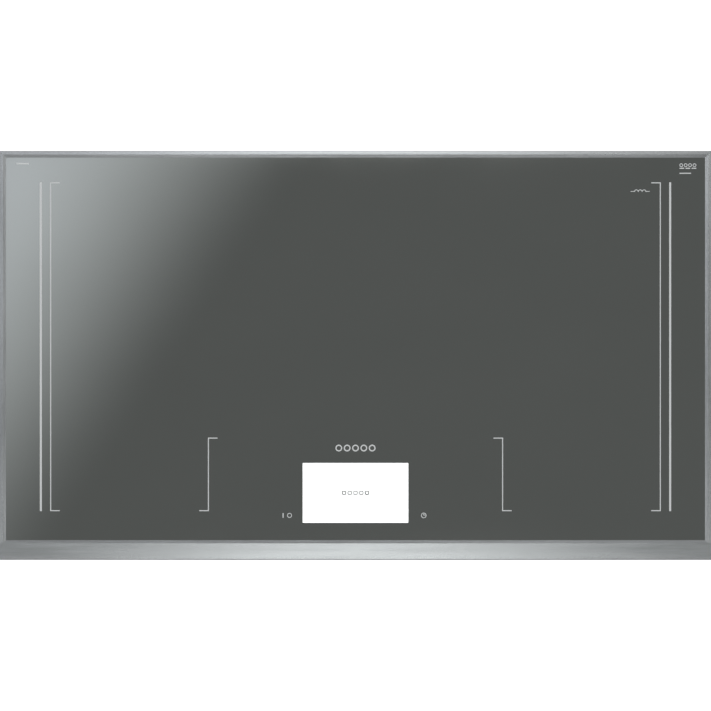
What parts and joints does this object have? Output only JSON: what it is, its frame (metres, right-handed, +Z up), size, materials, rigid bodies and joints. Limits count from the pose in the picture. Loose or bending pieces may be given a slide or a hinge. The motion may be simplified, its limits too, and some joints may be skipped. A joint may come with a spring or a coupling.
{
  "type": "electric induction cooktop",
  "caption": "Built-in electric induction cooktop: one black glass plate in a steel frame over sprung coil trays, with a lit touch display at the front.",
  "frame": {"origin": "centre of the housing's underside, which is the centre of the whole box in plan", "axes": "+Z up through the glass, +X to the cook's right, -Y towards the cook"},
  "size_m": [0.94, 0.54, 0.11],
  "materials": {
    "glass_plate": "polished black glass-ceramic with a grey mirror coating",
    "enamel_print": "fired light-grey enamel",
    "brushed_trim": "brushed stainless steel, grain along each rail",
    "silicone": "dark silicone",
    "foam": "closed-cell foam",
    "galvanised_sheet": "galvanised sheet steel",
    "terminal_plastic": "cream moulded plastic with brass clamps",
    "zinc_fitting": "die-cast zinc",
    "mat_fibre": "pressed mineral fibre",
    "tray_aluminium": "plain aluminium",
    "carrier_plastic": "heat-resistant moulded plastic",
    "copper": "varnished copper strand",
    "ferrite": "sintered ferrite",
    "sensor_ceramic": "cream ceramic",
    "spring_steel": "blued spring steel",
    "screen": "white lit panel",
    "black_plastic": "black moulded plastic",
    "board_green": "green circuit board",
    "key_pad": "conductive rubber",
    "standoff_plastic": "natural nylon",
    "component_plastic": "mixed component cases",
    "wire_jacket": "wire insulation",
    "fan_plastic": "dark grey moulded plastic",
    "screw_zinc": "bright zinc plate"
  },
  "bodies": {
    "cooktop": {"glass_plate": "glass_plate", "printed_markings": "enamel_print", "trim_rear": "brushed_trim", "trim_front": "brushed_trim", "trim_left": "brushed_trim", "trim_right": "brushed_trim", "frame_adhesive": "silicone", "worktop_gasket": "foam", "glass_rail_front": "galvanised_sheet", "glass_rail_rear": "galvanised_sheet", "glass_rail_left": "galvanised_sheet", "glass_rail_right": "galvanised_sheet", "housing_base": "galvanised_sheet", "side_panel_left": "galvanised_sheet", "side_panel_right": "galvanised_sheet", "access_cover": "galvanised_sheet", "tray_bridges": "galvanised_sheet", "display_support": "galvanised_sheet", "hold_down_brackets": "galvanised_sheet", "terminal_block": "terminal_plastic", "conduit_gland": "zinc_fitting", "gland_locknut": "zinc_fitting", "insulation_mat": "mat_fibre", "heat_sinks": "tray_aluminium", "tray_springs_rear": "spring_steel", "tray_springs_middle": "spring_steel", "tray_springs_front": "spring_steel", "display_screen": "screen", "display_frame": "black_plastic", "fan_case_left": "black_plastic", "fan_case_right": "black_plastic", "control_board": "board_green", "power_boards": "board_green", "filter_board": "board_green", "touch_keys": "key_pad", "board_standoffs": "standoff_plastic", "board_components": "component_plastic", "mains_wiring": "wire_jacket", "housing_screws": "screw_zinc"},
    "rear_tray": {"tray_rear": "tray_aluminium", "coil_carriers_rear": "carrier_plastic", "copper_windings_rear": "copper", "ferrites_rear": "ferrite", "sensors_rear": "sensor_ceramic"},
    "middle_tray": {"tray_middle": "tray_aluminium", "coil_carriers_middle": "carrier_plastic", "copper_windings_middle": "copper", "ferrites_middle": "ferrite", "sensors_middle": "sensor_ceramic"},
    "front_tray": {"tray_front": "tray_aluminium", "coil_carriers_front": "carrier_plastic", "copper_windings_front": "copper", "ferrites_front": "ferrite", "sensors_front": "sensor_ceramic"},
    "fan_left": {"fan_rotor_left": "fan_plastic"},
    "fan_right": {"fan_rotor_right": "fan_plastic"},
    "foot_left": {"clamp_foot_left": "black_plastic"},
    "foot_right": {"clamp_foot_right": "black_plastic"},
    "screw_left": {"clamp_screw_left": "screw_zinc"},
    "screw_right": {"clamp_screw_right": "screw_zinc"}
  },
  "joints": [
    {"name": "rear_tray_float", "type": "slide", "parent": "cooktop", "child": "rear_tray", "axis": [0, 0, 1], "range_m": [-0.003, 0], "stiffness_N_per_m": 20000, "springref_m": 0.004, "deforming": ["tray_springs_rear"]},
    {"name": "middle_tray_float", "type": "slide", "parent": "cooktop", "child": "middle_tray", "axis": [0, 0, 1], "range_m": [-0.003, 0], "stiffness_N_per_m": 20000, "springref_m": 0.004, "deforming": ["tray_springs_middle"]},
    {"name": "front_tray_float", "type": "slide", "parent": "cooktop", "child": "front_tray", "axis": [0, 0, 1], "range_m": [-0.003, 0], "stiffness_N_per_m": 20000, "springref_m": 0.004, "deforming": ["tray_springs_front"]},
    {"name": "fan_spin_left", "type": "hinge", "parent": "cooktop", "child": "fan_left", "pos_m": [-0.25, -0.135, 0.03], "axis": [0, 0, 1], "continuous": true},
    {"name": "foot_lift_left", "type": "slide", "parent": "cooktop", "child": "foot_left", "axis": [0, 0, 1], "range_m": [-0.012, 0.01]},
    {"name": "screw_turn_left", "type": "hinge", "parent": "foot_left", "child": "screw_left", "pos_m": [-0.455, 0, 0.045], "axis": [0, 0, 1], "range_deg": [-4320, 3600]},
    {"name": "fan_spin_right", "type": "hinge", "parent": "cooktop", "child": "fan_right", "pos_m": [0.25, -0.135, 0.03], "axis": [0, 0, 1], "continuous": true},
    {"name": "foot_lift_right", "type": "slide", "parent": "cooktop", "child": "foot_right", "axis": [0, 0, 1], "range_m": [-0.012, 0.01]},
    {"name": "screw_turn_right", "type": "hinge", "parent": "foot_right", "child": "screw_right", "pos_m": [0.455, 0, 0.045], "axis": [0, 0, 1], "range_deg": [-4320, 3600]}
  ],
  "couplings": [
    {"joint": "screw_turn_left", "follows": "foot_lift_left", "rad_per_m": 6283.2},
    {"joint": "screw_turn_right", "follows": "foot_lift_right", "rad_per_m": 6283.2}
  ]
}
